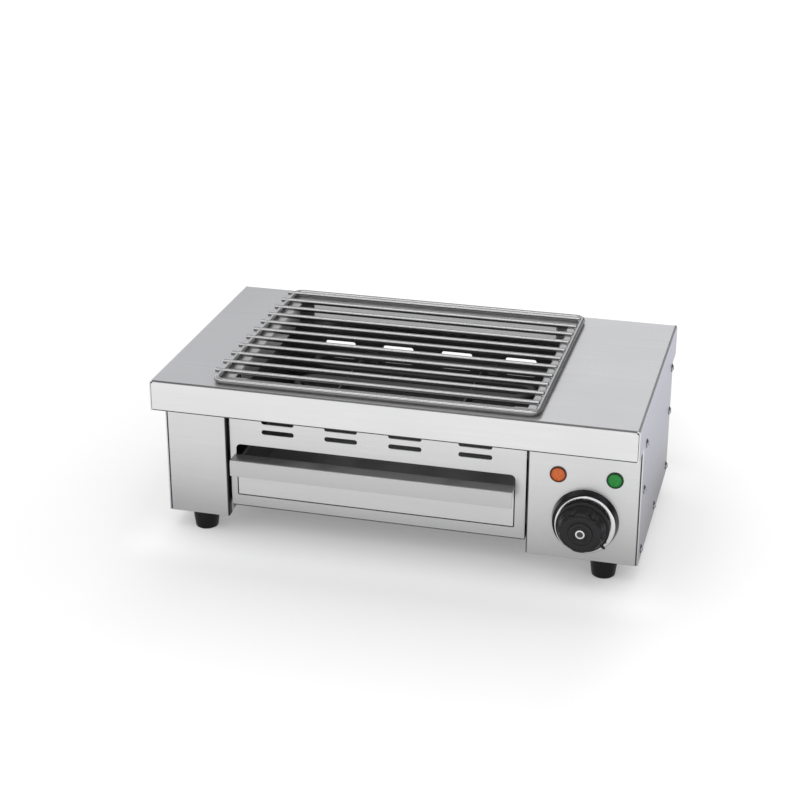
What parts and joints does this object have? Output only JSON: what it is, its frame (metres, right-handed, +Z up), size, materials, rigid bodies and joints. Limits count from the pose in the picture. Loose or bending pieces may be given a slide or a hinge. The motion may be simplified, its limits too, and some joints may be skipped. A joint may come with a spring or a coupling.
{
  "type": "electric fish roaster",
  "caption": "Low tabletop roaster in folded stainless sheet: wire grate over an open heated chamber, pull-out drip drawer below, control box with round knob and pilot lamps at the right",
  "frame": {"origin": "on the table under the middle of the housing, at the height of the feet's undersides", "axes": "+X along the front towards the control box, +Y from the knob side to the rear, +Z up"},
  "size_m": [0.498, 0.289, 0.1893],
  "materials": {
    "folded_steel": "brushed stainless sheet",
    "drawer_steel": "brushed stainless sheet",
    "bright_wire": "bright plated wire",
    "heater_sheath": "dull dark steel sheath",
    "nickel_fittings": "nickel plated",
    "ceramic": "glazed white ceramic",
    "orange_lens": "clear orange",
    "green_lens": "clear green",
    "lamp_plastic": "moulded black",
    "bright_collar": "satin bright metal",
    "knob_plastic": "moulded black satin",
    "thermostat_plastic": "brown thermoset",
    "copper_tube": "plain copper",
    "gland_plastic": "moulded black",
    "screw_steel": "zinc plated",
    "foot_rubber": "moulded black rubber"
  },
  "bodies": {
    "housing": {"outer_cover": "folded_steel", "front_soffit": "folded_steel", "rear_soffit": "folded_steel", "pier_front": "folded_steel", "pier_wall": "folded_steel", "pier_base": "folded_steel", "control_panel": "folded_steel", "divider_wall": "folded_steel", "control_base": "folded_steel", "centre_panel": "folded_steel", "chamber_floor": "folded_steel", "rear_panel": "folded_steel", "left_support_comb": "folded_steel", "right_support_comb": "folded_steel", "left_runner": "folded_steel", "right_runner": "folded_steel", "bulb_clips": "folded_steel", "heating_element": "heater_sheath", "heater_bushes": "nickel_fittings", "heater_nuts": "nickel_fittings", "heater_insulators": "ceramic", "heater_pins": "nickel_fittings", "orange_lamp_lens": "orange_lens", "green_lamp_lens": "green_lens", "orange_lamp_body": "lamp_plastic", "green_lamp_body": "lamp_plastic", "lamp_nuts": "lamp_plastic", "knob_bezel": "bright_collar", "thermostat": "thermostat_plastic", "thermostat_screws": "screw_steel", "thermostat_capillary": "copper_tube", "thermostat_bulb": "copper_tube", "cable_gland": "gland_plastic", "gland_lock_nut": "gland_plastic", "terminal_block": "ceramic", "foot_screws": "screw_steel", "foot_nuts": "screw_steel", "left_side_screws": "screw_steel", "right_side_screws": "screw_steel", "front_left_foot": "foot_rubber", "rear_left_foot": "foot_rubber", "front_right_foot": "foot_rubber", "rear_right_foot": "foot_rubber"},
    "drawer": {"drawer_front": "drawer_steel", "drawer_tray": "drawer_steel"},
    "grate": {"grill_grate": "bright_wire"},
    "knob": {"knob": "knob_plastic", "knob_cap": "knob_plastic", "cap_button": "bright_collar", "thermostat_shaft": "nickel_fittings"}
  },
  "joints": [
    {"name": "drawer_slide", "type": "slide", "parent": "housing", "child": "drawer", "axis": [0, -1, 0], "range_m": [0, 0.19]},
    {"name": "grate_lift", "type": "slide", "parent": "housing", "child": "grate", "axis": [0, 0, 1], "range_m": [0, 0.1]},
    {"name": "knob_turn", "type": "hinge", "parent": "housing", "child": "knob", "pos_m": [0.1925, -0.1075, 0.0638], "axis": [0, 1, 0], "range_deg": [0, 270]}
  ]
}
